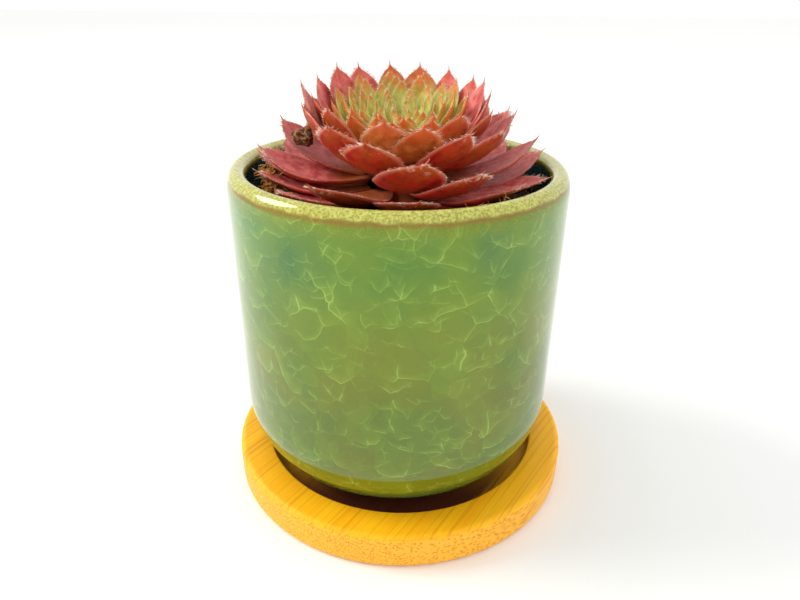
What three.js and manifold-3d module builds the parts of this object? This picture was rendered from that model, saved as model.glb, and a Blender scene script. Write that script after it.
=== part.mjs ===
// A houseleek (Sempervivum) growing in a small glazed pot that stands in a round bamboo saucer.
// The rosette is built leaf by leaf: four whorls of separate leaves round a short stem, and the heart, whose
// young leaves are joined. The stem's roots run down through the soil, and the pot drains into the saucer.
// Millimetres, +Z up. The origin is on the saucer's underside, below the middle of the pot, which stands
// a little off the saucer's centre. The rosette's heart leans towards -Y.

import * as THREE from "three";
import { mergeVertices } from "three/addons/utils/BufferGeometryUtils.js";
import Module from "manifold-3d";

const wasm = await Module();
wasm.setup();

// ---------------------------------------------------------------- driving dimensions

const GAP = 0.3; // clearance between pieces that touch
const ROUND_SEGMENTS = 36; // facets around the pot, the saucer and the soil

const SAUCER = {
  centre: [1, -0.8],
  radius: 41.8,
  thickness: 8.6,
  edgeRound: 1.5,
  wellRadius: 34,
  wellDepth: 4,
};

const POT = {
  base: SAUCER.thickness - SAUCER.wellDepth + GAP,
  top: 78,
  radius: 37.5,
  heelRise: 18.5, // height of the rounded lower corner
  footOuter: 20.6,
  footInner: 17.6,
  footHeight: 1.2,
  floor: 6,
  mouth: 33.2, // inner radius at the lip
  innerRadius: 33.6,
  innerHeelRise: 14,
  lipDrop: 4, // how far the lip's outer rounding reaches down
  lipWidth: 2.4,
  drainRadius: 5,
};

const SOIL = { edgeHeight: 69.2, crownHeight: 70.6, crownRadius: 12 };

const STEM = { bottom: 60, top: 84.5, radius: 4.8 };
const ROOT = { count: 6, length: 30, spread: 19, thickRadius: 1.5, tipRadius: 0.5, startHeight: 63 };

const CHIP = { centre: [-20.4, 0.6, 82.6], radius: 2.5 };

// Each whorl's leaves share their size. A leaf's place is [azimuth in degrees, tip radius, tip height], and
// a fourth number is how far its tip sweeps sideways, anticlockwise seen from above.
const WHORLS = [
  {
    name: "outer_leaf",
    base: [7, 72.4],
    halfWidth: 7,
    halfThickness: 1.3,
    bow: 0.1,
    places: [
      [5, 33, 80.6], [36, 33.6, 80, 1], [66, 33.4, 80.4, -1], [95, 33.8, 80],
      [122, 33.2, 80.3, 1], [149, 33.6, 80, -1], [173, 32.6, 79.4], [200, 32, 78.8],
      [225, 32.8, 77.8], [249, 32, 80.6, -5.5], [265, 32, 79.2, 7], [290, 32.8, 77.6, 4],
      [314, 33, 79.4, 2], [338, 33.6, 78.2],
    ],
  },
  {
    name: "lower_leaf",
    base: [6.4, 74.6],
    halfWidth: 7.2,
    halfThickness: 1.35,
    bow: 0.11,
    places: [
      [350, 30, 84.6, 3], [294, 30.2, 83, 4], [269, 28.2, 85.4, 6], [194, 30.4, 82.2, -5],
      [166, 27.8, 86.6], [138, 29, 85.4, 1], [111, 29.2, 85.8], [83, 29, 86], [54, 29.2, 85.8],
      [23, 28.2, 88.2, 1],
    ],
  },
  {
    name: "middle_leaf",
    base: [5.9, 76.8],
    halfWidth: 6.4,
    halfThickness: 1.25,
    bow: 0.11,
    places: [
      [357, 25, 89.6], [320, 25, 88.6, 3], [297, 24.6, 89.2, 3], [256, 25.4, 88],
      [237, 23.4, 90, -1], [206, 21, 91.6, -2], [182, 20.6, 95], [151, 24.6, 91.2], [123, 25, 92],
      [96, 25, 92.4], [68, 25, 92], [38, 25, 91],
    ],
  },
  {
    name: "upper_leaf",
    base: [5.3, 79],
    halfWidth: 5.2,
    halfThickness: 1.1,
    bow: 0.13,
    places: [
      [349, 19.2, 93.8], [330, 21, 91, 1], [308, 19.6, 91.4], [282, 22.8, 90.4], [263, 22, 91.2],
      [222, 19, 92], [196, 18.6, 93], [166, 18.4, 95.8], [144, 17.4, 97.4], [122, 18.4, 97],
      [98, 18.6, 97.2], [75, 17.6, 97], [52, 18, 96.6], [29, 18.8, 95.4], [8, 18.2, 95.6],
    ],
  },
];

// The heart: the inner whorls, small and crowded, round a closed bud.
const HEART = {
  whorls: [
    { count: 11, radius: 15.2, height: 92.8, base: [4.4, 80.6], halfWidth: 4.2, halfThickness: 0.9 },
    { count: 12, radius: 12.6, height: 92.8, base: [3.8, 81.4], halfWidth: 3.3, halfThickness: 0.8 },
    { count: 11, radius: 10.1, height: 92, base: [3.2, 82], halfWidth: 2.8, halfThickness: 0.75 },
    { count: 9, radius: 7.7, height: 91.3, base: [2.6, 82.6], halfWidth: 2.3, halfThickness: 0.7 },
    { count: 7, radius: 5.3, height: 90.7, base: [1.8, 83.2], halfWidth: 1.8, halfThickness: 0.6 },
  ],
  turn: 157, // degrees from one whorl's first leaf to the next whorl's
  bow: 0.14,
  lean: 0.22, // rise of the far side per millimetre of radius
  coreRadius: 4.6,
  coreBottom: 80.8,
  budTop: 89.8,
};

// A leaf's outline and section. Stations run from the base, 0, to the tip, 1.
const LEAF_STATIONS = [0, 0.2, 0.42, 0.62, 0.78, 0.91];
const LEAF_BASE_WIDTH = 0.34;
const LEAF_WIDEST = 0.64;
const LEAF_CUP = 0.14; // how far the margins rise above the midline, per half width
const LEAF_SECTION = [[1, 0], [0.5, 0.55], [-0.5, 0.55], [-1, 0], [-0.55, -1], [0.55, -1]];
const YOUNG_STATIONS = [0, 0.4, 0.76];
const YOUNG_SECTION = [[1, 0], [0, 0.55], [-1, 0], [0, -1]];

// ---------------------------------------------------------------- colours

const material = (color, roughness) => new THREE.MeshStandardMaterial({ color, roughness, metalness: 0 });
const BAMBOO = material(0xe0993c, 0.5);
const GLAZE = material(0x4f7a22, 0.12);
const EARTH = material(0x33211a, 0.95);
const ROOT_SKIN = material(0x8a6a48, 0.8);
const LEAF_COLOURS = {
  outer_leaf: material(0xc0483c, 0.5),
  lower_leaf: material(0xb4452f, 0.5),
  middle_leaf: material(0xb85a3a, 0.5),
  upper_leaf: material(0xae8a4e, 0.5),
};
const HEART_GREEN = material(0x9fae4c, 0.5);
const BARK = material(0x5a3826, 0.9);

// ---------------------------------------------------------------- solids

// A closed three.js geometry as a manifold-3d solid.
function solidFrom(geometry) {
  const bare = geometry.clone();
  bare.deleteAttribute("normal");
  bare.deleteAttribute("uv");
  const merged = mergeVertices(bare, 1e-4);
  const vertProperties = merged.attributes.position.array;
  const triVerts = new Uint32Array(merged.index.array);
  return new wasm.Manifold(new wasm.Mesh({ numProp: 3, vertProperties, triVerts }));
}

// The largest body of a solid, as a named mesh.
function meshFrom(solid, name, skin) {
  const bodies = solid.decompose().sort((a, b) => b.volume() - a.volume());
  const { numProp, vertProperties, triVerts } = bodies[0].getMesh();
  const geometry = new THREE.BufferGeometry();
  geometry.setAttribute("position", new THREE.BufferAttribute(vertProperties, numProp));
  geometry.setIndex(new THREE.BufferAttribute(triVerts, 1));
  geometry.computeVertexNormals();
  const mesh = new THREE.Mesh(geometry, skin);
  mesh.name = name;
  return mesh;
}

// A solid of revolution about +Z, from an outline of [radius, height] that runs counter-clockwise.
function turned(outline, segments = ROUND_SEGMENTS) {
  const points = outline.map(([radius, height]) => new THREE.Vector2(radius, height));
  return solidFrom(new THREE.LatheGeometry(points, segments).rotateX(Math.PI / 2));
}

// Points along a quarter ellipse about [radius, height], from one angle to another in degrees.
function arc([radius, height], [across, up], from, to, steps) {
  return Array.from({ length: steps + 1 }, (_, i) => {
    const angle = THREE.MathUtils.degToRad(from + ((to - from) * i) / steps);
    return [radius + across * Math.cos(angle), height + up * Math.sin(angle)];
  });
}

// A solid skinned over rings of equal counts, closed by a fan to a point at each end.
function lofted(start, rings, end) {
  const sides = rings[0].length;
  const points = [start, ...rings.flat(), end];
  const last = points.length - 1;
  const faces = [];
  for (let side = 0; side < sides; side++) {
    const next = (side + 1) % sides;
    faces.push(0, 1 + next, 1 + side);
    for (let ring = 0; ring < rings.length - 1; ring++) {
      const near = 1 + ring * sides;
      const far = near + sides;
      faces.push(near + side, near + next, far + next, near + side, far + next, far + side);
    }
    faces.push(last, last - sides + side, last - sides + next);
  }
  const geometry = new THREE.BufferGeometry().setFromPoints(points);
  geometry.setIndex(faces);
  return solidFrom(geometry);
}

// ---------------------------------------------------------------- saucer, pot and soil

function saucerSolid() {
  const { centre, radius, thickness, edgeRound, wellRadius, wellDepth } = SAUCER;
  const well = thickness - wellDepth;
  const solid = turned([
    [0, 0],
    ...arc([radius - edgeRound, edgeRound], [edgeRound, edgeRound], -90, 0, 3),
    ...arc([radius - edgeRound, thickness - edgeRound], [edgeRound, edgeRound], 0, 90, 3),
    [wellRadius, thickness],
    [wellRadius - GAP, well],
    [0, well],
  ]);
  return solid.translate(...centre, 0);
}

function potSolid() {
  const { base, top, radius, heelRise, footOuter, footInner, footHeight, floor, mouth } = POT;
  const { innerRadius, innerHeelRise, lipDrop, lipWidth, drainRadius } = POT;
  const lipInner = radius - lipWidth - mouth;
  const innerFoot = innerRadius - innerHeelRise;
  return turned([
    [drainRadius, base + footHeight],
    [footInner, base + footHeight],
    [footInner, base],
    ...arc([footOuter, base + heelRise], [radius - footOuter, heelRise], -90, 0, 7),
    ...arc([radius - lipWidth, top - lipDrop], [lipWidth, lipDrop], 0, 90, 4),
    ...arc([mouth + lipInner, top - lipInner], [lipInner, lipInner], 90, 180, 3),
    ...arc([innerFoot, base + floor + innerHeelRise], [innerHeelRise, innerHeelRise], 0, -90, 5),
    [drainRadius, base + floor],
    [drainRadius, base + footHeight],
  ]);
}

// The space that the pot's wall and lip need, with clearance.
function potKeepOut() {
  const { mouth, radius, top, lipWidth } = POT;
  const lipInner = radius - lipWidth - mouth;
  const below = SOIL.edgeHeight - GAP;
  return turned([
    [mouth - GAP, below],
    [radius + GAP, below],
    [radius + GAP, top + GAP],
    ...arc([mouth + lipInner, top - lipInner], [lipInner + GAP, lipInner + GAP], 90, 180, 3),
    [mouth - GAP, below],
  ]);
}

function soilSolid() {
  const { base, floor, innerRadius, innerHeelRise } = POT;
  const { edgeHeight, crownHeight, crownRadius } = SOIL;
  const wall = innerRadius - GAP;
  const bottom = base + floor + GAP;
  return turned([
    [0, bottom],
    ...arc([wall - innerHeelRise, bottom + innerHeelRise], [innerHeelRise, innerHeelRise], -90, 0, 5),
    [wall - 1, edgeHeight],
    [(wall + crownRadius) / 2, edgeHeight + 0.9],
    [crownRadius, crownHeight],
    [0, crownHeight],
  ]);
}

// ---------------------------------------------------------------- stem and roots

// A point in the vertical plane at an azimuth.
const polar = (azimuth, radius, height) =>
  new THREE.Vector3(radius * Math.cos(azimuth), radius * Math.sin(azimuth), height);

function rootSolid(index, grow) {
  const { count, length, spread, thickRadius, tipRadius, startHeight } = ROOT;
  const azimuth = ((index + 0.3 * (index % 2)) * 2 * Math.PI) / count;
  const reach = spread * (1 - 0.25 * (index % 3));
  const path = new THREE.QuadraticBezierCurve3(
    polar(azimuth, 1, startHeight),
    polar(azimuth + 0.3, reach * 0.9, startHeight - length * 0.25),
    polar(azimuth + 0.5, reach, startHeight - length),
  );
  const sides = 5;
  const rings = [0, 0.25, 0.5, 0.75, 1].map((t) => {
    const radius = THREE.MathUtils.lerp(thickRadius, tipRadius, t) + grow;
    return Array.from({ length: sides }, (_, i) => {
      const angle = (i * 2 * Math.PI) / sides;
      const offset = new THREE.Vector3(Math.cos(angle) * radius, Math.sin(angle) * radius, 0);
      return path.getPoint(t).add(offset);
    });
  });
  const cap = tipRadius + grow;
  // The rings run downwards, so each is turned round to face out.
  rings.forEach((ring) => ring.reverse());
  return lofted(
    path.getPoint(0).add(new THREE.Vector3(0, 0, cap)),
    rings,
    path.getPoint(1).sub(new THREE.Vector3(0, 0, cap)),
  );
}

// The short stem with its taproot and side roots, wider all round by grow.
function stemSolid(grow = 0) {
  const { bottom, top, radius } = STEM;
  const taproot = bottom - 22;
  let solid = turned([
    [0, taproot - grow],
    [0.8 + grow, taproot],
    [2.6 + grow, bottom],
    [radius + grow, bottom + 6],
    [radius + grow, top - 6],
    [radius * 0.7 + grow, top - 2],
    [0, top + grow],
  ]);
  for (let index = 0; index < ROOT.count; index++) solid = solid.add(rootSolid(index, grow));
  return solid;
}

// ---------------------------------------------------------------- leaves

// Half the blade's width at a station, as a share of the widest: it swells from the base, then closes.
function widthShare(t) {
  const quarter = Math.PI / 2;
  if (t > LEAF_WIDEST) return Math.cos((quarter * (t - LEAF_WIDEST)) / (1 - LEAF_WIDEST)) ** 0.8;
  return THREE.MathUtils.lerp(LEAF_BASE_WIDTH, 1, Math.sin((quarter * t) / LEAF_WIDEST));
}

const thicknessShare = (t) => 0.75 + 0.5 * t - 1.1 * t * t;

// A leaf lies along its azimuth. Its midline bows down between its base and its tip.
function leafSolid(leaf, grow = 0) {
  const { azimuth, tip, base, sweep = 0, halfWidth, halfThickness, bow } = leaf;
  const { stations = LEAF_STATIONS, section = LEAF_SECTION } = leaf;
  const [start, end] = [new THREE.Vector2(...base), new THREE.Vector2(...tip)];
  const chord = end.clone().sub(start);
  const below = new THREE.Vector2(chord.y, -chord.x);
  const middle = start.clone().add(end).multiplyScalar(0.5).addScaledVector(below, bow * 2);
  const midline = new THREE.QuadraticBezierCurve(start, middle, end);
  const sideways = new THREE.Vector3(-Math.sin(azimuth), Math.cos(azimuth), 0);
  const at = (t, width, height) => {
    const point = midline.getPoint(t);
    const slope = midline.getTangent(t);
    const normal = new THREE.Vector2(-slope.y, slope.x);
    point.addScaledVector(normal, height);
    return polar(azimuth, point.x, point.y).addScaledVector(sideways, width + sweep * t * t);
  };
  const rings = stations.map((t) => {
    const wide = halfWidth * widthShare(t) + grow;
    const thick = halfThickness * thicknessShare(t) + grow;
    return section.map(([u, v]) => at(t, wide * u, thick * v + LEAF_CUP * wide * u * u));
  });
  const past = polar(azimuth, chord.clone().normalize().x * grow, chord.clone().normalize().y * grow);
  return lofted(at(0, 0, 0).sub(past), rings, at(1, 0, 0).add(past));
}

const leavesOf = ({ name, places, ...shape }) =>
  places.map(([degrees, radius, height, sweep], index) => ({
    ...shape,
    tip: [radius, height],
    sweep,
    azimuth: THREE.MathUtils.degToRad(degrees),
    name: `${name}_${String(index + 1).padStart(2, "0")}`,
    skin: LEAF_COLOURS[name],
  }));

function heartSolid(grow = 0) {
  const { whorls, turn, bow, lean, coreRadius, coreBottom, budTop } = HEART;
  let solid = turned([
    [0, coreBottom - grow],
    [coreRadius + grow, coreBottom - grow],
    [coreRadius + grow, coreBottom + 3],
    [coreRadius * 0.4 + grow, budTop - 2],
    [0, budTop + grow],
  ], 12);
  whorls.forEach(({ count, radius, height, ...shape }, whorl) => {
    for (let index = 0; index < count; index++) {
      const azimuth = THREE.MathUtils.degToRad(turn * whorl + (index * 360) / count);
      const tip = [radius, height + lean * radius * Math.sin(azimuth)];
      const young = { azimuth, tip, bow, ...shape, stations: YOUNG_STATIONS, section: YOUNG_SECTION };
      solid = solid.add(leafSolid(young, grow));
    }
  });
  return solid;
}

// ---------------------------------------------------------------- bark chip

// A weathered lump of bark, caught between two leaves on the left.
function chipSolid() {
  const lump = new THREE.IcosahedronGeometry(CHIP.radius, 1);
  const position = lump.attributes.position;
  const corner = new THREE.Vector3();
  for (let i = 0; i < position.count; i++) {
    corner.fromBufferAttribute(position, i);
    const bump = 1 + 0.12 * Math.sin(2.1 * corner.x + 1.3 * corner.y) * Math.cos(1.7 * corner.z);
    position.setXYZ(i, ...corner.multiplyScalar(bump).toArray());
  }
  return solidFrom(lump.translate(...CHIP.centre));
}

// ---------------------------------------------------------------- assembly

const plant = new THREE.Group();
const stemKeepOut = stemSolid(GAP);
const taken = [stemKeepOut];

// Each piece gives way, by the gap, to those already placed, from the heart outwards.
function place(solid, keepOut, name, skin) {
  const free = taken.reduce((left, other) => left.subtract(other), solid);
  plant.add(meshFrom(free, name, skin));
  taken.push(keepOut);
}

plant.add(meshFrom(stemSolid(), "stem_and_roots", ROOT_SKIN));
place(heartSolid(), heartSolid(GAP), "heart", HEART_GREEN);
taken.push(potKeepOut());
for (const whorl of [...WHORLS].reverse()) {
  for (const leaf of leavesOf(whorl)) place(leafSolid(leaf), leafSolid(leaf, GAP), leaf.name, leaf.skin);
}
place(chipSolid(), chipSolid(), "bark_chip", BARK);

const holder = new THREE.Group();
holder.add(meshFrom(saucerSolid(), "saucer", BAMBOO));
holder.add(meshFrom(potSolid(), "pot", GLAZE));
holder.add(meshFrom(soilSolid().subtract(stemKeepOut), "soil", EARTH));

const part = new THREE.Group();
part.add(holder, plant);

export default part;
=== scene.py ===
"""The looks of a potted houseleek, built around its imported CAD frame: a crackle-glazed pot on a bamboo saucer,
potting soil with coir and bark, and a rosette of fleshy leaves with bristle tips and hairs along their margins."""

import math
import random

import bmesh
import bpy
import numpy as np
from mathutils import Matrix, Vector, noise


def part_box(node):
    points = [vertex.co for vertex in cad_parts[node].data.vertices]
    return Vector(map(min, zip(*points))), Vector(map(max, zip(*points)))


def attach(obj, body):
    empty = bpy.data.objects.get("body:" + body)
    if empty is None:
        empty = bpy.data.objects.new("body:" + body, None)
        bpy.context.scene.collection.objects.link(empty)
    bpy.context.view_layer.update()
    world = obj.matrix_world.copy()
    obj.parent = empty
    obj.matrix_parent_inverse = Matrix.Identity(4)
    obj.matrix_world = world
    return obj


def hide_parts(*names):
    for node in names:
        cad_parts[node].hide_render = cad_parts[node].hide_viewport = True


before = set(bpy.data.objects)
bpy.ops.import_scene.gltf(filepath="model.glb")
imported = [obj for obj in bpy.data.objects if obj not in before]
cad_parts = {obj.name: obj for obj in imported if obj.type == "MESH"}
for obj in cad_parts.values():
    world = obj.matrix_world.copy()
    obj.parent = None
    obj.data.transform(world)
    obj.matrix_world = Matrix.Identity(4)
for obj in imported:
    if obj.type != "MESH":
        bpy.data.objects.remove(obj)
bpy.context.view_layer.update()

MM = 0.001

# ---------------------------------------------------------------- sizes that aren't the frame's, in millimetres

LIP = {"drop": 4.0, "width": 2.4, "mouth": 33.2}
HEEL_RISE = 18.5
FOOT = {"outer": 20.6, "inner": 17.6, "height": 1.2}
POT_INSIDE = {"radius": 33.6, "heel_rise": 14, "floor": 6, "drain": 5}
SAUCER = {"edge_round": 1.5, "well_radius": 34, "well_depth": 4}

# The heart's whorls, from the outermost: count, tip radius, tip height, base radius, base height, half width.
HEART_WHORLS = [
    (11, 15.2, 92.8, 4.4, 80.6, 4.2),
    (12, 12.6, 92.8, 3.8, 81.4, 3.3),
    (11, 10.1, 92.0, 3.2, 82.0, 2.8),
    (9, 7.7, 91.3, 2.6, 82.6, 2.3),
    (7, 5.3, 90.7, 1.8, 83.2, 1.8),
    (6, 3.2, 90.4, 1.2, 84.0, 1.2),
    (4, 1.5, 90.1, 0.6, 85.0, 0.8),
]
HEART_TURN = math.radians(157)
HEART_LEAN = 0.22


# ---------------------------------------------------------------- node graphs

class Graph:
    """A material's node tree round one Principled shader, with short ways to add nodes."""

    def __init__(self, name):
        self.material = bpy.data.materials.new(name)
        self.material.use_nodes = True
        self.tree = self.material.node_tree
        self.tree.nodes.clear()
        self.shader = self.node("ShaderNodeBsdfPrincipled")
        output = self.node("ShaderNodeOutputMaterial")
        self.tree.links.new(self.shader.outputs[0], output.inputs[0])
        place = self.node("ShaderNodeTexCoord").outputs["Object"]
        self.place = self.vector("SCALE", place, scale=1 / MM)
        self.xyz = self.node("ShaderNodeSeparateXYZ", {0: self.place})

    def node(self, kind, inputs=None, **settings):
        node = self.tree.nodes.new(kind)
        for name, value in settings.items():
            setattr(node, name, value)
        for key, value in (inputs or {}).items():
            self.put(node.inputs[key], value)
        return node

    def put(self, socket, value):
        if isinstance(value, bpy.types.NodeSocket):
            self.tree.links.new(value, socket)
        else:
            socket.default_value = value

    def set(self, **inputs):
        for name, value in inputs.items():
            self.put(self.shader.inputs[name.replace("_", " ")], value)

    def math(self, operation, first, second=0.0, clamp=False):
        node = self.node("ShaderNodeMath", {0: first, 1: second}, operation=operation, use_clamp=clamp)
        return node.outputs[0]

    def vector(self, operation, first, second=(0, 0, 0), scale=1.0):
        node = self.node("ShaderNodeVectorMath", operation=operation)
        for socket, value in zip((node.inputs[0], node.inputs[1], node.inputs[3]), (first, second, scale)):
            self.put(socket, value)
        return node.outputs["Value" if operation in ("DOT_PRODUCT", "LENGTH") else "Vector"]

    def mix(self, factor, first, second, blend="MIX"):
        colours = [(*c, 1) if isinstance(c, tuple) and len(c) == 3 else c for c in (first, second)]
        node = self.node("ShaderNodeMix", data_type="RGBA", blend_type=blend, clamp_factor=True)
        for socket, value in zip((node.inputs[0], node.inputs[6], node.inputs[7]), (factor, *colours)):
            self.put(socket, value)
        return node.outputs[2]

    def step(self, value, start, end, low=0.0, high=1.0):
        """A smooth step from low to high as value goes from start to end."""
        inputs = {"Value": value, "From Min": start, "From Max": end, "To Min": low, "To Max": high}
        return self.node("ShaderNodeMapRange", inputs, interpolation_type="SMOOTHSTEP").outputs[0]

    def band(self, value, middle, half_width):
        """1 at middle, falling to 0 at half_width either side."""
        distance = self.math("ABSOLUTE", self.math("SUBTRACT", value, middle))
        return self.step(distance, 0.0, half_width, 1.0, 0.0)

    def noise(self, scale, detail=3.0, roughness=0.55, place=None, distortion=0.0):
        inputs = {"Vector": place or self.place, "Scale": scale, "Detail": detail}
        inputs.update({"Roughness": roughness, "Distortion": distortion})
        return self.node("ShaderNodeTexNoise", inputs).outputs["Fac"]

    def voronoi(self, scale, feature="F1", place=None, randomness=1.0, dimensions="3D"):
        node = self.node("ShaderNodeTexVoronoi", feature=feature, voronoi_dimensions=dimensions)
        for key, value in (("Vector", place or self.place), ("Scale", scale), ("Randomness", randomness)):
            self.put(node.inputs[key], value)
        return node

    def stretched(self, scale, turn=(0, 0, 0), shift=(0, 0, 0)):
        inputs = {"Vector": self.place, "Scale": scale, "Rotation": turn, "Location": shift}
        return self.node("ShaderNodeMapping", inputs, vector_type="TEXTURE").outputs[0]

    def bump(self, height, distance, strength=1.0, under=None):
        """A bump of so many millimetres."""
        inputs = {"Height": height, "Distance": distance * MM, "Strength": strength}
        if under:
            inputs["Normal"] = under
        return self.node("ShaderNodeBump", inputs).outputs[0]


# ---------------------------------------------------------------- meshes

def piece(name, vertices, faces, material, replaces=(), smooth=True):
    """A mesh object from points in millimetres, riding on the part."""
    mesh = bpy.data.meshes.new(name)
    mesh.from_pydata([tuple(c * MM for c in v) for v in vertices], [], faces)
    mesh.validate()
    tidy = bmesh.new()
    tidy.from_mesh(mesh)
    bmesh.ops.recalc_face_normals(tidy, faces=tidy.faces)
    tidy.to_mesh(mesh)
    tidy.free()
    mesh.polygons.foreach_set("use_smooth", [smooth] * len(mesh.polygons))
    mesh.materials.append(material)
    obj = bpy.data.objects.new(name, mesh)
    bpy.context.collection.objects.link(obj)
    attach(obj, "root")
    if replaces:
        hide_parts(*replaces)
    return obj


def arc(centre, radii, start, end, steps):
    angles = np.radians(np.linspace(start, end, steps + 1))
    return [(centre[0] + radii[0] * math.cos(a), centre[1] + radii[1] * math.sin(a)) for a in angles]


def turned(outline, segments, centre=(0, 0), wobble=None):
    """A closed surface of revolution. A point on the axis becomes one vertex."""
    vertices, rings = [], []
    for radius, height in outline:
        if radius == 0:
            rings.append([len(vertices)] * segments)
            vertices.append((*centre, height))
            continue
        rings.append(range(len(vertices), len(vertices) + segments))
        for i in range(segments):
            angle = 2 * math.pi * i / segments
            r, z = wobble(radius, height, angle) if wobble else (radius, height)
            vertices.append((centre[0] + r * math.cos(angle), centre[1] + r * math.sin(angle), z))
    faces = []
    for low, high in zip(rings, rings[1:]):
        for i in range(segments):
            j = (i + 1) % segments
            corners = dict.fromkeys((low[i], low[j], high[j], high[i]))
            if len(corners) > 2:
                faces.append(tuple(corners))
    return vertices, faces


def millimetres(node):
    return [np.array(corner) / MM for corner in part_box(node)]


# ---------------------------------------------------------------- pot

POT_LOW, POT_HIGH = millimetres("pot")
POT_RADIUS = POT_HIGH[0]
POT_TOP = POT_HIGH[2]
POT_BASE = POT_LOW[2]


def crackle(g, wall, scale, width, seed):
    """One generation of cracks. The crack line is drawn bright only along the lower rim of each flake, a painted
    highlight as if the crack caught light from above, and the flake above it gets a painted glow of light.
    """
    place = g.vector("ADD", wall, (31 * seed, 17 * seed, 0))
    edge = g.voronoi(scale, "DISTANCE_TO_EDGE", place, dimensions="2D").outputs["Distance"]
    cell = g.voronoi(scale, "F1", place, dimensions="2D")
    offset = g.vector("SCALE", g.vector("SUBTRACT", place, cell.outputs["Position"]), scale=scale)
    tilt = g.vector("ADD", g.vector("SUBTRACT", cell.outputs["Color"], (0.5, 0.5, 0.5)), (0, -0.75, 0))
    # Painted light: picks the lit side of each flake, tilted at random per flake but mostly towards its lower rim, as
    # if lit from above.
    facing = g.step(g.vector("DOT_PRODUCT", offset, tilt), 0.04, 0.26)
    lit_crack = g.math("MULTIPLY", g.step(edge, 0.0, width * scale, 1.0, 0.0), facing)
    painted_flake_light = g.math("MULTIPLY", g.step(edge, 0.0, 0.26, 1.0, 0.0), facing)
    tone = g.node("ShaderNodeSeparateColor", {0: cell.outputs["Color"]}).outputs[2]
    return lit_crack, painted_flake_light, tone


def teal_patch(g, round_wall, height, u, z, across, up):
    """A soft patch centred u millimetres round the wall from its front, at height z."""
    return g.math("MULTIPLY", g.band(round_wall, u, across), g.band(height, z, up))


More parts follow.
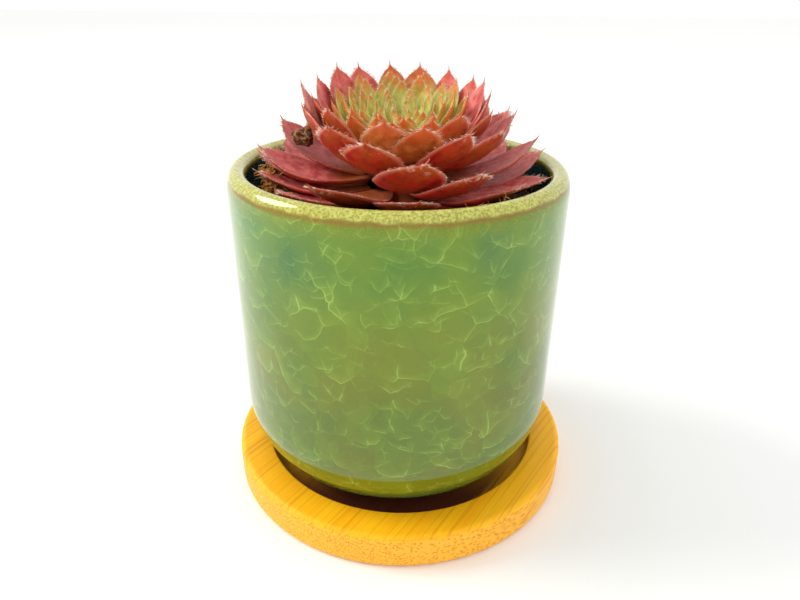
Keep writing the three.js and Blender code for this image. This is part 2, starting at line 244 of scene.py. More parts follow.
def glaze_material():
    g = Graph("crackle_glaze")
    x, y, height = (g.xyz.outputs[axis] for axis in "XYZ")
    reach = g.vector("LENGTH", g.vector("MULTIPLY", g.place, (1, 1, 0)))
    around = g.math("MULTIPLY", g.math("ARCTAN2", x, g.math("MULTIPLY", y, -1)), POT_RADIUS)
    heel = g.math("MULTIPLY", g.math("SUBTRACT", POT_RADIUS, reach), -0.8)
    flat = g.node("ShaderNodeCombineXYZ", {0: around, 1: g.math("ADD", height, heel)}).outputs[0]
    jitter = g.node("ShaderNodeTexNoise", {"Vector": g.place, "Scale": 0.22, "Detail": 1.0}).outputs["Color"]
    wall = g.vector("ADD", flat, g.vector("SCALE", g.vector("SUBTRACT", jitter, (0.5, 0.5, 0.5)), scale=3.0))

    cloud = g.noise(0.05, 3.0)
    low = g.mix(g.step(cloud, 0.38, 0.62), (0.122, 0.138, 0.006), (0.088, 0.150, 0.010))
    middle = g.mix(g.step(cloud, 0.38, 0.62), (0.150, 0.185, 0.001), (0.085, 0.165, 0.003))
    top = g.mix(g.step(cloud, 0.38, 0.62), (0.110, 0.220, 0.004), (0.055, 0.185, 0.012))
    body = g.mix(g.step(height, 30, 50), low, middle)
    body = g.mix(g.step(height, 48, POT_TOP - 8), body, top)
    # Three soft patches at given places on the wall, tinted deep teal.
    teal_patches = g.math("ADD", teal_patch(g, around, height, -21, 67, 13, 12), teal_patch(g, around, height, 18, 70, 7, 9))
    teal_patches = g.math("ADD", teal_patches, teal_patch(g, around, height, 74, 60, 26, 18))
    body = g.mix(g.math("MULTIPLY", teal_patches, 0.8), body, (0.018, 0.130, 0.040))
    grain = g.step(g.noise(3.2, 3.0, 0.8), 0.30, 0.70)
    body = g.mix(g.math("MULTIPLY", grain, 0.28), body, (0.200, 0.260, 0.010))

    seam = g.step(g.math("ABSOLUTE", around), math.pi * POT_RADIUS - 0.5, math.pi * POT_RADIUS - 4)
    lit_cracks, painted_flake_lights = [], []
    for scale, width, seed in ((0.095, 0.28, 1.0), (0.165, 0.25, 2.3), (0.290, 0.20, 4.1)):
        lit_crack, painted_flake_light, tone = crackle(g, wall, scale, width, seed)
        broken = g.step(g.noise(0.16, 3.0, place=g.vector("ADD", g.place, (seed * 9, 0, 0))), 0.44, 0.62)
        broken = g.math("MULTIPLY", broken, seam)
        lit_cracks.append(g.math("MULTIPLY", lit_crack, broken))
        painted_flake_lights.append(g.math("MULTIPLY", painted_flake_light, g.math("MULTIPLY", g.math("ADD", broken, 0.15), seam)))
        body = g.mix(g.math("MULTIPLY", g.step(tone, 0.55, 0.95), 0.12), body, (0.220, 0.330, 0.015))
    # Painted light across the lit side of each flake, then painted highlights along the cracks' lower rims.
    for painted_flake_light, strength in zip(painted_flake_lights, (0.22, 0.22, 0.14)):
        body = g.mix(g.math("MULTIPLY", painted_flake_light, strength), body, (0.260, 0.430, 0.035))
    for lit_crack, strength in zip(lit_cracks, (0.44, 0.37, 0.23)):
        body = g.mix(g.math("MULTIPLY", lit_crack, strength), body, (0.500, 0.660, 0.160))

    wander = g.math("MULTIPLY", g.math("SUBTRACT", g.noise(0.35, 3.0), 0.5), 1.3)
    level = g.math("ADD", height, wander)
    speckle = g.step(g.noise(1.7, 4.0, 0.8), 0.36, 0.62)
    dots = g.step(g.noise(2.3, 3.0, 0.7), 0.44, 0.58)
    below = g.math("MULTIPLY", dots, g.step(level, POT_TOP - 6.0, POT_TOP - 2.2, 0.0, 0.6))
    body = g.mix(below, body, (0.290, 0.250, 0.006))
    lip_colour = g.mix(speckle, (0.270, 0.260, 0.018), (0.600, 0.580, 0.130))
    # A thin pale line along the inner edge of the lip top: a painted highlight.
    rim = g.math(
        "MULTIPLY", g.step(reach, LIP["mouth"] + 1.5, LIP["mouth"] + 0.7), g.step(height, POT_TOP - 1.0, POT_TOP - 0.3)
    )
    lip_colour = g.mix(g.math("MULTIPLY", rim, 0.7), lip_colour, (0.640, 0.630, 0.290))
    colour = g.mix(g.step(level, POT_TOP - 2.0, POT_TOP - 1.3), body, lip_colour)
    rust = g.math("MULTIPLY", g.band(level, POT_TOP - 2.0, 0.75), g.step(speckle, 0.0, 1.0, 0.45, 1.0))
    colour = g.mix(g.math("MULTIPLY", rust, 0.9), colour, (0.270, 0.110, 0.006))
    # Painted shade: the inner wall below the lip is coloured dark teal, as shade falls inside the pot.
    painted_inner_shade = g.math(
        "MULTIPLY", g.step(reach, LIP["mouth"] + 0.7, LIP["mouth"] + 0.1), g.step(height, POT_TOP - 1.6, POT_TOP - 2.6)
    )
    colour = g.mix(painted_inner_shade, colour, g.mix(speckle, (0.008, 0.045, 0.060), (0.030, 0.110, 0.120)))
    foot = g.step(g.math("ADD", height, g.math("MULTIPLY", wander, 0.5)), POT_BASE + 3.4, POT_BASE + 2.2)
    colour = g.mix(foot, colour, (0.230, 0.190, 0.004))

    swell = g.bump(g.noise(0.045, 1.0), 0.30)
    fine = g.bump(g.noise(0.5, 2.0), 0.010, under=swell)
    relief = g.bump(lit_cracks[0], -0.01, under=fine)
    g.set(Base_Color=colour, Roughness=0.06, IOR=1.5, Specular_Tint=(0.86, 1.0, 0.84, 1.0), Normal=relief)
    g.set(Coat_Weight=0.3, Coat_Roughness=0.02, Coat_Normal=swell)
    return g.material


def make_pot():
    lip_inner = POT_RADIUS - LIP["width"] - LIP["mouth"]
    inner_foot = POT_INSIDE["radius"] - POT_INSIDE["heel_rise"]
    floor = POT_BASE + POT_INSIDE["floor"]
    sole = POT_BASE + FOOT["height"]
    drain = POT_INSIDE["drain"]
    wall = np.linspace(POT_BASE + HEEL_RISE, POT_TOP - LIP["drop"], 26)[1:-1]
    outline = [
        (drain + 0.4, sole), (FOOT["inner"], sole),
        (FOOT["inner"] + 0.4, POT_BASE + 0.2), (FOOT["inner"] + 0.9, POT_BASE),
        *arc((FOOT["outer"], POT_BASE + HEEL_RISE), (POT_RADIUS - FOOT["outer"], HEEL_RISE), -90, 0, 26),
        *[(POT_RADIUS, z) for z in wall],
        *arc((POT_RADIUS - LIP["width"], POT_TOP - LIP["drop"]), (LIP["width"], LIP["drop"]), 0, 90, 16),
        *arc((LIP["mouth"] + lip_inner, POT_TOP - lip_inner), (lip_inner, lip_inner), 90, 180, 12)[1:],
        (POT_INSIDE["radius"], POT_TOP - 10),
        *arc((inner_foot, floor + POT_INSIDE["heel_rise"]), (POT_INSIDE["heel_rise"],) * 2, 0, -90, 10),
        (drain, floor), (drain, sole + 0.3), (drain + 0.4, sole),
    ]

    def thrown(radius, height, angle):
        """The slight unevenness of a thrown and dipped pot."""
        rise = max(0.0, (height - POT_BASE) / (POT_TOP - POT_BASE))
        push = noise.noise(Vector((math.cos(angle) * 1.1, math.sin(angle) * 1.1, rise * 1.4)))
        return radius - 0.16 * rise * (0.5 + push), height

    vertices, faces = turned(outline[:-1] + outline[:1], 200, wobble=thrown)
    pot = piece("glazed_pot", vertices, faces, glaze_material(), ["pot"])
    join_seam(pot)
    return pot


def join_seam(obj):
    """Merges the first and last ring of a closed outline."""
    mesh = bmesh.new()
    mesh.from_mesh(obj.data)
    bmesh.ops.remove_doubles(mesh, verts=mesh.verts, dist=1e-7)
    bmesh.ops.recalc_face_normals(mesh, faces=mesh.faces)
    mesh.to_mesh(obj.data)
    mesh.free()


# ---------------------------------------------------------------- saucer

GRAIN = math.radians(56)


def bamboo_material(top):
    """Laminated bamboo: fibres run along one direction, so a cut across them shows dots and a cut along shows lines."""
    g = Graph("bamboo")
    turn = (0, 0, GRAIN)
    fibres = g.stretched((26, 0.56, 0.56), turn)
    strips = g.stretched((400, 3.1, 14), turn)
    fine = g.stretched((16, 0.25, 0.25), turn)
    strip = g.node("ShaderNodeSeparateColor", {0: g.voronoi(1.0, place=strips).outputs["Color"]})
    joint = g.voronoi(1.0, "DISTANCE_TO_EDGE", strips).outputs["Distance"]
    bundle = g.voronoi(1.0, place=fibres, randomness=0.9).outputs["Distance"]
    streak = g.noise(1.0, 3.0, 0.6, place=fibres)
    hair = g.noise(1.0, 2.0, 0.6, place=fine)
    colour = g.mix(g.step(streak, 0.30, 0.70), (1.0, 0.540, 0.004), (1.0, 0.450, 0.001))
    colour = g.mix(g.math("MULTIPLY", strip.outputs[0], 0.35), colour, (0.940, 0.370, 0.001))
    colour = g.mix(g.step(bundle, 0.34, 0.10, 0.0, 0.22), colour, (0.840, 0.300, 0.001))
    colour = g.mix(g.step(hair, 0.56, 0.74, 0.0, 0.3), colour, (1.0, 0.640, 0.050))
    colour = g.mix(g.step(joint, 0.050, 0.0, 0.0, 0.5), colour, (0.660, 0.220, 0.001))
    facing = g.node("ShaderNodeSeparateXYZ", {0: g.node("ShaderNodeNewGeometry").outputs["Normal"]})
    wall = g.step(facing.outputs["Z"], 0.75, 0.35)
    end_grain = g.mix(g.step(bundle, 0.26, 0.50), (0.760, 0.270, 0.010), (1.0, 0.510, 0.040))
    colour = g.mix(g.math("MULTIPLY", wall, 0.85), colour, end_grain)
    # Painted shadow: the well floor round the pot's foot is coloured dark maroon, darkest towards the front where the
    # pot's shade falls.
    reach = g.vector("LENGTH", g.vector("MULTIPLY", g.vector("ADD", g.place, (0, 2.5, 0)), (1, 1, 0)))
    ragged = g.math("ADD", reach, g.math("MULTIPLY", g.math("SUBTRACT", hair, 0.5), 3.0))
    painted_well_shadow = g.math("MULTIPLY", g.step(ragged, 33.0, 29.5), g.step(g.xyz.outputs["Z"], top - 1.5, top - 3.0))
    painted_well_shadow = g.math("MULTIPLY", painted_well_shadow, g.step(g.xyz.outputs["Y"], -8, -27, 0.25, 0.95))
    colour = g.mix(painted_well_shadow, colour, (0.075, 0.007, 0.012))
    relief = g.bump(g.math("ADD", streak, g.math("MULTIPLY", bundle, 0.6)), 0.05)
    g.set(Base_Color=colour, Roughness=0.5, Normal=relief, Specular_IOR_Level=0.3)
    return g.material


def make_saucer():
    low, high = millimetres("saucer")
    centre = (low[:2] + high[:2]) / 2
    radius, top, r = (high[0] - low[0]) / 2, high[2], SAUCER["edge_round"]
    well_radius, well = SAUCER["well_radius"], top - SAUCER["well_depth"]
    lip = 0.5
    outline = [
        (0, 0), (radius - r - 8, 0),
        *arc((radius - r, r), (r, r), -90, 0, 8),
        *arc((radius - r, top - r), (r, r), 0, 90, 8),
        *arc((well_radius + lip, top - lip), (lip, lip), 90, 180, 5),
        *arc((well_radius - lip, well + lip), (lip, lip), 0, -90, 5),
        (0, well),
    ]
    vertices, faces = turned(outline, 220, centre)
    return piece("bamboo_saucer", vertices, faces, bamboo_material(top), ["saucer"])


# ---------------------------------------------------------------- soil, roots and litter

def soil_material():
    g = Graph("potting_soil")
    crumbs = g.voronoi(1.1)
    tone = g.node("ShaderNodeSeparateColor", {0: crumbs.outputs["Color"]}).outputs[0]
    colour = g.mix(g.noise(0.8, 4.0, 0.7), (0.012, 0.007, 0.008), (0.060, 0.030, 0.020))
    colour = g.mix(g.step(tone, 0.80, 0.95, 0.0, 0.7), colour, (0.160, 0.075, 0.030))
    g.set(Base_Color=colour, Roughness=0.95, Normal=g.bump(g.noise(2.2, 4.0, 0.7), 0.35))
    return g.material


def litter_material(name, dark, light, scale=1.6):
    g = Graph(name)
    colour = g.mix(g.step(g.noise(scale, 4.0, 0.75), 0.34, 0.62), dark, light)
    g.set(Base_Color=colour, Roughness=0.85, Normal=g.bump(g.noise(scale * 3, 3.0), 0.08))
    return g.material


def make_soil():
    low, high = millimetres("soil")
    radius, floor = high[0], low[2]
    edge, crown = high[2] - 1.4, high[2] - 0.5
    heel = POT_INSIDE["heel_rise"]
    rings = np.linspace(radius - 0.6, 0, 40)[:-1]
    outline = [
        (0, floor),
        *arc((radius - heel, floor + heel), (heel, heel), -90, 0, 6),
        (radius, edge - 1.2),
        *[(r, edge + (crown - edge) * (1 - (r / radius) ** 2)) for r in rings],
        (0, crown),
    ]

    def lumpy(r, z, angle):
        if z < edge - 1:
            return r, z
        spot = Vector((r * math.cos(angle), r * math.sin(angle), 0))
        lump = 0.55 * noise.noise(spot * 0.35) + 0.45 * noise.noise(spot * 0.9)
        return r, z + max(-1.2, min(0.5, lump))

    vertices, faces = turned(outline, 150, wobble=lumpy)
    return piece("potting_soil", vertices, faces, soil_material(), ["soil"])


def lump(centre, radius, rng, detail=1, squash=0.7):
    """A rough crumb: a noisy, flattened icosphere."""
    ball = bmesh.new()
    bmesh.ops.create_icosphere(ball, subdivisions=detail, radius=1)
    turn = Matrix.Rotation(rng.uniform(0, math.tau), 3, Vector((rng.gauss(0, 1), rng.gauss(0, 1), 1)).normalized())
    seed = Vector((rng.uniform(0, 99), rng.uniform(0, 99), 0))
    points = []
    for vertex in ball.verts:
        bump = 1 + 0.55 * noise.noise(vertex.co * 1.3 + seed) + 0.2 * noise.noise(vertex.co * 3.1 + seed)
        shaped = turn @ Vector((vertex.co.x * 1.1, vertex.co.y * 0.9, vertex.co.z * squash)) * bump * radius
        points.append(tuple(Vector(centre) + shaped))
    faces = [tuple(v.index for v in face.verts) for face in ball.faces]
    ball.free()
    return points, faces


def tube(path, radius, sides=5):
    """A thin closed tube along points, tapering to both ends."""
    points, faces = [], []
    path = [Vector(p) for p in path]
    last = len(path) - 1
    for i, spot in enumerate(path):
        ahead = (path[min(i + 1, last)] - path[max(i - 1, 0)]).normalized()
        across = ahead.orthogonal().normalized()
        other = ahead.cross(across)
        r = radius * (0.35 + 0.65 * math.sin(math.pi * (0.12 + 0.76 * i / last)))
        for k in range(sides):
            a = math.tau * k / sides
            points.append(tuple(spot + across * (r * math.cos(a)) + other * (r * math.sin(a))))
    for i in range(last):
        for k in range(sides):
            j = (k + 1) % sides
            faces.append((i * sides + k, i * sides + j, (i + 1) * sides + j, (i + 1) * sides + k))
    faces.append(tuple(range(sides - 1, -1, -1)))
    faces.append(tuple(last * sides + k for k in range(sides)))
    return points, faces


def gather(parts):
    """Joins several (points, faces) into one."""
    points, faces = [], []
    for some_points, some_faces in parts:
        start = len(points)
        points.extend(some_points)
        faces.extend(tuple(start + i for i in face) for face in some_faces)
    return points, faces


def polar(degrees, radius, height):
    angle = math.radians(degrees)
    return Vector((radius * math.cos(angle), radius * math.sin(angle), height))


def curl(start, length, rng, rise=0.3, tightness=1.0):
    """A wandering fibre."""
    heading = Vector((rng.gauss(0, 1), rng.gauss(0, 1), rng.gauss(0, rise))).normalized()
    bend = Vector((rng.gauss(0, 1), rng.gauss(0, 1), rng.gauss(0, 0.6)))
    points = [Vector(start)]
    for _ in range(9):
        bend += Vector((rng.gauss(0, 0.5), rng.gauss(0, 0.5), rng.gauss(0, 0.3)))
        heading = (heading + bend * 0.22 * tightness).normalized()
        points.append(points[-1] + heading * (length / 9))
    return points


def inside_pot(point, top=POT_TOP - 0.4):
    """Keeps a point of litter clear of the pot's wall and lip."""
    reach = math.hypot(point.x, point.y)
    limit = LIP["mouth"] - 0.4
    scale = min(1.0, limit / reach) if reach else 1.0
    return Vector((point.x * scale, point.y * scale, min(point.z, top + 4)))


# Where coir fibres gather: azimuth, its spread, radius, height, count, fibre length.
COIR_TUFTS = [
    (188, 5, 30.2, 76.8, 30, 3.2),
    (199, 7, 30.0, 75.4, 44, 3.4),
    (214, 8, 31.0, 74.2, 34, 3.0),
    (236, 13, 31.6, 74.2, 60, 3.0),
    (257, 7, 31.8, 74.6, 26, 3.0),
    (303, 7, 31.8, 74.8, 22, 3.6),
    (318, 8, 31.6, 75.0, 16, 3.2),
    (120, 50, 30.6, 73.2, 46, 3.2),
    (40, 40, 30.6, 73.2, 40, 3.2),
]


def make_litter():
    rng = random.Random(11)
    soil_top = millimetres("soil")[1][2] - 1.2
    crumbs = []
    for _ in range(520):
        radius = 32.2 * math.sqrt(rng.uniform(0.10, 1.0))
        size = rng.uniform(0.25, 0.95)
        spot = polar(rng.uniform(0, 360), min(radius, 32.6 - size), soil_top + rng.uniform(0.0, 0.9))
        crumbs.append(lump(spot, size, rng))
    points, faces = gather(crumbs)
    piece("soil_crumbs", points, faces, soil_material(), smooth=False)

    chips = []
    for azimuth, spread, reach, height, count, _ in COIR_TUFTS:
        for _ in range(count):
            size = rng.uniform(0.22, 0.75)
            spot = polar(rng.gauss(azimuth, spread), reach - rng.uniform(0.4, 3.0), height - rng.uniform(0.2, 2.2))
            chips.append(lump(inside_pot(spot), size, rng, squash=0.5))
    points, faces = gather(chips)
    chip_skin = litter_material("bark_crumb", (0.050, 0.014, 0.005), (0.620, 0.230, 0.030))
    piece("bark_crumbs", points, faces, chip_skin, smooth=False)

    strands = []
    for azimuth, spread, reach, height, count, length in COIR_TUFTS:
        for _ in range(count):
            start = polar(rng.gauss(azimuth, spread), reach - rng.uniform(0.2, 2.6), height - rng.uniform(-0.9, 1.6))
            path = curl(start, length * rng.uniform(0.5, 1.2), rng, tightness=2.4)
            strands.append(tube([inside_pot(p) for p in path], rng.uniform(0.05, 0.12)))
    points, faces = gather(strands)
    coir = litter_material("coir", (0.360, 0.130, 0.022), (0.860, 0.460, 0.110), 0.5)
    piece("coir_fibres", points, faces, coir)


def make_bark_chip():
    rng = random.Random(4)
    low, high = millimetres("bark_chip")
    centre, radius = (low + high) / 2, (high[0] - low[0]) / 2
    points, faces = lump(centre, radius * 0.80, rng, detail=4, squash=0.95)
    g = Graph("weathered_bark")
    flake = g.voronoi(1.1)
    tone = g.node("ShaderNodeSeparateColor", {0: flake.outputs["Color"]}).outputs[0]
    colour = g.mix(g.noise(1.4, 4.0, 0.7), (0.030, 0.012, 0.008), (0.180, 0.070, 0.030))
    colour = g.mix(g.step(tone, 0.62, 0.72, 0.0, 0.8), colour, (0.520, 0.260, 0.080))
    g.set(Base_Color=colour, Roughness=0.9, Normal=g.bump(g.noise(1.8, 4.0, 0.8), 0.5))
    piece("bark_lump", points, faces, g.material, ["bark_chip"])


# ---------------------------------------------------------------- leaves

STEM_TOP = np.array([0.0, 0.0, 76.0])
SPINE_START = 0.93


def blade_material():
    """Leaf skin. The mesh's blade attribute holds: along the leaf, across it, age (green to red), and a seed."""
    g = Graph("houseleek_skin")
    blade = g.node("ShaderNodeAttribute", attribute_name="blade")
    parts = g.node("ShaderNodeSeparateColor", {0: blade.outputs["Color"]}).outputs
    along, across, age = parts[0], parts[1], parts[2]
    seed = blade.outputs["Alpha"]
    upper = g.node("ShaderNodeAttribute", attribute_name="upper").outputs["Fac"]
    mottle = g.noise(0.42, 4.0, 0.62)
    blotch = g.noise(0.16, 2.0)

    green = g.mix(g.step(mottle, 0.30, 0.70), (0.420, 0.430, 0.060), (0.740, 0.680, 0.190))
    amber = g.mix(g.step(mottle, 0.32, 0.68), (0.500, 0.170, 0.020), (0.760, 0.400, 0.090))
    under_red = g.mix(g.step(mottle, 0.32, 0.68), (0.280, 0.008, 0.006), (0.500, 0.034, 0.012))
    under_red = g.mix(g.step(blotch, 0.44, 0.62, 0.0, 0.6), under_red, (0.360, 0.085, 0.006))
    keel = g.math("MULTIPLY", g.step(across, 0.85, 0.25), g.step(g.noise(0.22, 3.0), 0.36, 0.58))
    under_red = g.mix(g.math("MULTIPLY", keel, 0.5), under_red, (0.340, 0.085, 0.004))
    upper_red = g.mix(g.step(mottle, 0.30, 0.66), (0.560, 0.060, 0.060), (0.820, 0.240, 0.220))
    red = g.mix(upper, under_red, upper_red)
    blush = g.math("ADD", age, g.math("MULTIPLY", g.math("SUBTRACT", blotch, 0.5), 0.30))
    blush = g.math("ADD", blush, g.step(along, 0.55, 1.0, 0.0, 0.22))
    blush = g.math("ADD", blush, g.math("MULTIPLY", g.math("SUBTRACT", seed, 0.5), 0.16))
    colour = g.mix(g.step(blush, 0.20, 0.55), green, amber)
    colour = g.mix(g.step(blush, 0.48, 0.78), colour, red)

    base = g.step(along, 0.42, 0.16, 0.0, 0.75)
    colour = g.mix(g.math("MULTIPLY", base, g.step(age, 0.3, 0.8)), colour, (0.400, 0.120, 0.006))
    rim = g.step(across, 0.80, 1.0)
    pale_rim = g.mix(age, (0.780, 0.640, 0.260), (0.820, 0.260, 0.180))
    colour = g.mix(g.math("MULTIPLY", rim, g.step(along, 0.3, 0.6, 0.1, 0.5)), colour, pale_rim)
    tip = g.math("MULTIPLY", g.step(along, 0.74, 0.95), g.step(age, 0.8, 0.4, 0.15, 0.8))
    colour = g.mix(tip, colour, (0.700, 0.130, 0.030))
    dry = g.math("MULTIPLY", g.step(along, 0.80, 0.96), g.step(g.noise(0.9, 3.0, 0.7), 0.52, 0.62))
    colour = g.mix(g.math("MULTIPLY", dry, g.step(age, 0.7, 0.95, 0.0, 0.7)), colour, (0.900, 0.720, 0.560))
    speck = g.step(g.voronoi(0.75).outputs["Distance"], 0.075, 0.05)
    colour = g.mix(g.math("MULTIPLY", speck, 0.55), colour, (0.950, 0.700, 0.560))

    grain = g.bump(g.noise(2.6, 3.0, 0.7), 0.06)
    skin = g.bump(g.noise(0.55, 3.0), 0.25, under=grain)
    g.set(Base_Color=colour, Roughness=g.step(mottle, 0.3, 0.7, 0.38, 0.55), Normal=skin)
    g.set(Subsurface_Weight=0.08, Subsurface_Radius=(1.0, 0.30, 0.15), Subsurface_Scale=0.001)
    g.set(Specular_IOR_Level=0.25)
    return g.material


def hair_material(name, dark, light):
    g = Graph(name)
    colour = g.mix(g.step(g.noise(0.9, 2.0), 0.38, 0.62), dark, light)
    g.set(Base_Color=colour, Roughness=0.5, Subsurface_Weight=0.2, Subsurface_Scale=0.0003)
    return g.material


def measure_leaf(node):
    """Reads a leaf's frame from its CAD solid: its chord, how it bows and sweeps, and how wide and thick it is."""
    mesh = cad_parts[node].data
    points = np.array([v.co for v in mesh.vertices]) / MM
    edges = np.array([e.vertices for e in mesh.edges])
    centres = np.array([p.center for p in mesh.polygons]) / MM
    areas = np.array([p.area for p in mesh.polygons])
    tip = points[np.argmax(np.linalg.norm(points - STEM_TOP, axis=1))]
    reach = np.linalg.norm(points[:, :2], axis=1)
    base = points[reach < reach.min() + 1.0].mean(axis=0)
    along = (tip - base) / np.linalg.norm(tip - base)
    spread = centres - np.average(centres, axis=0, weights=areas)
    spread -= np.outer(spread @ along, along)
    _, vectors = np.linalg.eigh((spread * areas[:, None]).T @ spread)
    across = vectors[:, 2]
    outward = np.array([tip[0], tip[1], 0]) / max(1e-6, np.hypot(tip[0], tip[1]))
    normal = np.cross(along, across)
    if normal @ (np.array([0, 0, 1]) - outward) < 0:
        across, normal = -across, -normal
    length = np.linalg.norm(tip - base)
    local = (points - base) @ np.array([along, across, normal]).T
    rows = []
    for t in (0.25, 0.4, 0.55, 0.7, 0.85):
        a, b = local[edges[:, 0]], local[edges[:, 1]]
        cut = (a[:, 0] - t * length) * (b[:, 0] - t * length) < 0
        share = (t * length - a[cut, 0]) / (b[cut, 0] - a[cut, 0])
        hits = a[cut] + (b[cut] - a[cut]) * share[:, None]
        side = (hits[:, 1].min() + hits[:, 1].max()) / 2
        half = (hits[:, 1].max() - hits[:, 1].min()) / 2
        middle = hits[np.abs(hits[:, 1] - side) < 0.5 * half + 0.2]
        rise = (middle[:, 2].min() + middle[:, 2].max()) / 2
        rows.append((4 * t * (1 - t), side, rise, half, (middle[:, 2].max() - middle[:, 2].min()) / 2))
    rows = np.array(rows)
    weight = rows[:, 0] @ rows[:, 0]
    return {
        "base": base, "tip": tip, "across": across, "normal": normal, "length": length,
        "sweep": rows[:, 0] @ rows[:, 1] / weight, "bow": rows[:, 0] @ rows[:, 2] / weight,
        "half_width": rows[:, 3].max(), "half_thick": rows[:, 4].max(),
    }


def width_share(t, widest, blunt):
    """Half the blade's width as a share of its widest: a wedge that swells, closes to a point and ends in a spine."""
    if t < widest:
        swell = 0.36 + 0.64 * math.sin(math.pi / 2 * t / widest) ** 1.1
    else:
        u = min(1.0, (t - widest) / (SPINE_START - widest))
        swell = (1 - u ** blunt) ** 0.85
    spine = 0.05 * max(0.0, min(1.0, (1 - t) / (1 - SPINE_START) * 0.9 + 0.1))
    return max(swell, 0) * (1 - 0.05) + spine


def leaf_surface(leaf, seed, stations=30, sides=22):
    """Points, faces, per-point (along, across, upper) and the margin's course of one leaf."""
    base, tip = Vector(leaf["base"]), Vector(leaf["tip"])
    across, normal = Vector(leaf["across"]), Vector(leaf["normal"])
    rng = random.Random(seed)
    offset = Vector((rng.uniform(0, 60), rng.uniform(0, 60), rng.uniform(0, 60)))
    cup = leaf.get("cup", 0.16) + rng.uniform(-0.05, 0.05)
    lopside = rng.uniform(-0.07, 0.07)
    twist = rng.uniform(-0.10, 0.10)
    points, data, margins = [tuple(base)], [(0.0, 0.0, 0.5)], ([], [])
    for i in range(stations):
        t = 1 - (1 - (i + 0.15) / stations) ** 1.25
        if i == stations - 1:
            t = 0.995
        arch = 4 * t * (1 - t)
        dip = leaf["bow"] * arch - leaf.get("curl", 0.0) * 6.75 * t * t * (1 - t)
        centre = base.lerp(tip, t) + across * (leaf["sweep"] * arch) + normal * dip
        turn = Matrix.Rotation(twist * t * (1 - t) * 4, 3, (tip - base).normalized())
        side, up = turn @ across, turn @ normal
        wide = leaf["half_width"] * width_share(t, leaf.get("widest", 0.62), leaf.get("blunt", 2.3))
        wide *= 1 + 0.03 * noise.noise(offset + Vector((t * 9, 0, 0)))
        thick = leaf["half_thick"] * min(0.98, 0.80 + 0.55 * t - 1.15 * t * t)
        if t > SPINE_START:
            thick = min(thick, wide)
        thick = min(thick, wide * 0.9)
        for k in range(sides):
            angle = math.tau * k / sides
            v, s = math.cos(angle), math.sin(angle)
            belly = abs(s) ** 0.85
            if s >= 0:
                rise = 0.55 * thick * belly
            else:
                keel = 1 + 0.30 * math.exp(-(v / 0.22) ** 2) * t
                rise = -1.05 * thick * belly * keel
            shaped = v + lopside * (1 - v * v) * t
            spot = centre + side * (wide * shaped) + up * (rise + cup * wide * v * v)
            rough = noise.noise(offset + spot * 0.32) * 0.22 + noise.noise(offset + spot * 0.9) * 0.07
            spot += up * rough * min(1.0, wide / 3) * (1 - 0.5 * v * v)
            points.append(tuple(spot))
            data.append((t, abs(v), 1.0 if s > 0.05 else 0.0 if s < -0.05 else 0.5))
            if k in (0, sides // 2):
                margins[k > 0].append((t, spot, side * (1 if k == 0 else -1), up))
    points.append(tuple(tip))
    data.append((1.0, 0.0, 0.5))
    faces = [(0, 1 + (k + 1) % sides, 1 + k) for k in range(sides)]
    for i in range(stations - 1):
        for k in range(sides):
            j = (k + 1) % sides
            low = 1 + i * sides
            faces.append((low + k, low + j, low + sides + j, low + sides + k))
    end = 1 + (stations - 1) * sides
    faces += [(len(points) - 1, end + k, end + (k + 1) % sides) for k in range(sides)]
    return points, faces, data, margins


def margin_hairs(margins, along, rng, spacing, length, start=0.30):
    """Short stiff hairs that stand out from both margins, each a slender closed cone."""
    parts = []
    for course in margins:
        for (t0, p0, out0, up0), (t1, p1, _, _) in zip(course, course[1:]):
            if t0 < start or t1 > SPINE_START + 0.02:
                continue
            near_tip = max(0.0, (t0 - 0.62) / (SPINE_START - 0.62))
            count = max(1, round((p1 - p0).length / spacing * (1 + near_tip)))
            for n in range(count):
                root = p0.lerp(p1, (n + rng.random()) / count)
                if rng.random() < 0.12:
                    continue
                lean = out0 + along * rng.uniform(0.2, 0.9) + up0 * rng.uniform(-0.35, 0.55)
                reach = length * rng.uniform(0.45, 1.25) * (1 + 1.1 * near_tip)
                heading = lean.normalized()
                side = heading.orthogonal().normalized()
                other = heading.cross(side)
                width = 0.05 + 0.04 * near_tip
                foot = root - heading * 0.12
                corners = [foot + side * width, foot + (other * 0.87 - side * 0.5) * width]
                corners.append(foot - (other * 0.87 + side * 0.5) * width)
                cone = [tuple(c) for c in (*corners, root + heading * reach)]
                parts.append((cone, [(0, 1, 3), (1, 2, 3), (2, 0, 3), (0, 2, 1)]))
    return parts


def paint(obj, data, ages):
    """Stores the leaf coordinates that the skin's material reads."""
    flat = []
    for (t, v, _), (age, seed) in zip(data, ages):
        flat.extend((t, v, age, seed))
    blade = obj.data.attributes.new("blade", "FLOAT_COLOR", "POINT")
    blade.data.foreach_set("color", flat)
    upper = obj.data.attributes.new("upper", "FLOAT", "POINT")
    upper.data.foreach_set("value", [row[2] for row in data])


AGES = {"outer_leaf": 1.0, "lower_leaf": 0.92, "middle_leaf": 0.80, "upper_leaf": 0.52}
CURLS = {"outer_leaf": 0.2, "lower_leaf": 0.9, "middle_leaf": 0.7, "upper_leaf": 0.4}


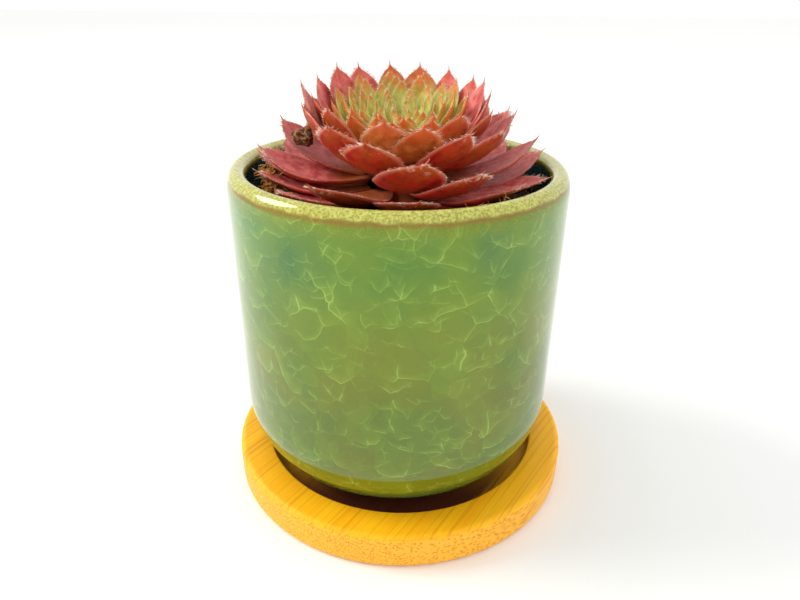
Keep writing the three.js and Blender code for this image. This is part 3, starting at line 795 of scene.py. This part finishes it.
def make_leaves(skin, hair):
    nodes = sorted(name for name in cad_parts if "_leaf_" in name)
    hairs = {whorl: [] for whorl in AGES}
    for index, node in enumerate(nodes):
        whorl = node.rsplit("_", 1)[0]
        rng = random.Random(100 + index)
        leaf = measure_leaf(node)
        leaf["curl"] = CURLS[whorl]
        leaf["half_thick"] *= 1.2 if whorl == "outer_leaf" else 1.0
        points, faces, data, margins = leaf_surface(leaf, 300 + index)
        azimuth = math.atan2(leaf["tip"][1], leaf["tip"][0])
        age = AGES[whorl] + rng.uniform(-0.06, 0.06)
        if whorl == "upper_leaf":
            age += 0.26 * abs(math.cos(azimuth)) ** 1.5 - 0.08 * max(0.0, math.sin(azimuth))
        obj = piece(node.replace("leaf", "blade"), points, faces, skin, [node])
        paint(obj, data, [(age, rng.random())] * len(data))
        along = (Vector(leaf["tip"]) - Vector(leaf["base"])).normalized()
        hairs[whorl] += margin_hairs(margins, along, rng, 0.34, rng.choice((0.36, 0.42, 0.66)))
    for whorl, parts in hairs.items():
        points, faces = gather(parts)
        piece(whorl + "_hairs", points, faces, hair)


def make_heart(skin, hair):
    rng = random.Random(77)
    points, faces, data, ages, hairs = [], [], [], [], []
    for whorl, (count, radius, height, base_radius, base_height, half_width) in enumerate(HEART_WHORLS):
        for index in range(count):
            azimuth = HEART_TURN * whorl + math.tau * index / count + rng.uniform(-0.06, 0.06)
            out = Vector((math.cos(azimuth), math.sin(azimuth), 0))
            reach = radius * rng.uniform(0.95, 1.0)
            tip = out * reach + Vector((0, 0, height + HEART_LEAN * reach * math.sin(azimuth) - rng.uniform(0, 0.5)))
            base = out * base_radius + Vector((0, 0, base_height))
            across = Vector((0, 0, 1)).cross(out)
            along = (tip - base).normalized()
            leaf = {
                "base": base, "tip": tip, "across": across, "normal": along.cross(across),
                "length": (tip - base).length, "sweep": rng.uniform(-0.3, 0.3), "bow": -0.14 * (tip - base).length,
                "half_width": half_width * rng.uniform(0.92, 1.05), "half_thick": 0.36 + 0.15 * half_width, "cup": 0.24,
                "widest": 0.55, "blunt": 1.6,
            }
            some, links, rows, margins = leaf_surface(leaf, 900 + 40 * whorl + index, 20, 14)
            start = len(points)
            points += some
            faces += [tuple(start + i for i in face) for face in links]
            data += rows
            age = 0.30 - 0.05 * whorl + rng.uniform(-0.06, 0.06) - 0.10 * math.sin(azimuth)
            ages += [(age, rng.random())] * len(rows)
            hairs += margin_hairs(margins, along, rng, 0.34, 0.34, 0.4)
    heart = piece("heart_leaves", points, faces, skin, ["heart"])
    paint(heart, data, ages)
    points, faces = gather(hairs)
    piece("heart_hairs", points, faces, hair)


def make_stem():
    g = Graph("root_skin")
    colour = g.mix(g.noise(0.7, 4.0, 0.7), (0.030, 0.010, 0.010), (0.110, 0.045, 0.030))
    g.set(Base_Color=colour, Roughness=0.8, Normal=g.bump(g.noise(1.6, 3.0), 0.2))
    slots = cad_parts["stem_and_roots"].material_slots
    for slot in slots:
        slot.material = g.material


# ---------------------------------------------------------------- stage, light and camera

def area_light(name, place, aim, size, power, colour=(1, 1, 1)):
    light = bpy.data.lights.new(name, "AREA")
    light.shape = "DISK"
    light.size = size
    light.energy = power
    light.color = colour
    obj = bpy.data.objects.new(name, light)
    obj.location = place
    obj.rotation_euler = (Vector(aim) - Vector(place)).to_track_quat("-Z", "Y").to_euler()
    bpy.context.collection.objects.link(obj)


def make_stage():
    mesh = bpy.data.meshes.new("floor")
    reach = 3.0
    corners = [(-reach, -reach, 0), (reach, -reach, 0), (reach, reach, 0), (-reach, reach, 0)]
    mesh.from_pydata(corners, [], [(0, 1, 2, 3)])
    floor = bpy.data.objects.new("floor", mesh)
    bpy.context.collection.objects.link(floor)
    g = Graph("pale_floor")
    g.set(Base_Color=g.mix(g.noise(0.01, 2.0), (0.93, 0.93, 0.925), (0.95, 0.948, 0.94)), Roughness=0.9)
    g.shader.inputs["Specular IOR Level"].default_value = 0.1
    mesh.materials.append(g.material)

    world = bpy.data.worlds.new("studio")
    bpy.context.scene.world = world
    world.use_nodes = True
    background = world.node_tree.nodes["Background"]
    background.inputs["Color"].default_value = (1.0, 1.0, 0.995, 1)
    background.inputs["Strength"].default_value = 1.04
    area_light("key", (-0.88, 0.14, 0.72), (0, 0, 0.06), 0.55, 7.0, (1.0, 0.99, 0.96))
    scene = bpy.context.scene
    scene.view_settings.view_transform = "Standard"
    scene.view_settings.look = "None"


def make_camera():
    camera = bpy.data.cameras.new("camera")
    camera.sensor_width = 36
    camera.lens = 28.1
    camera.clip_start = 0.005
    obj = bpy.data.objects.new("camera", camera)
    ahead = Vector((0.0, 0.8938, -0.4485)).normalized()
    right = Vector((0.9999, 0.005, 0.01))
    right = (right - ahead * right.dot(ahead)).normalized()
    up = right.cross(ahead)
    turn = Matrix((right, up, -ahead)).transposed().to_4x4()
    obj.matrix_world = Matrix.Translation(Vector((0.58, -137.06, 112.24)) * MM) @ turn
    bpy.context.collection.objects.link(obj)
    bpy.context.scene.camera = obj


# ---------------------------------------------------------------- assembly

make_camera()
make_stage()
make_pot()
make_saucer()
make_soil()
make_litter()
make_bark_chip()
make_stem()
leaf_skin = blade_material()
make_leaves(leaf_skin, hair_material("ruddy_hair", (0.720, 0.200, 0.120), (0.960, 0.780, 0.660)))
make_heart(leaf_skin, hair_material("green_hair", (0.640, 0.560, 0.200), (0.900, 0.840, 0.560)))
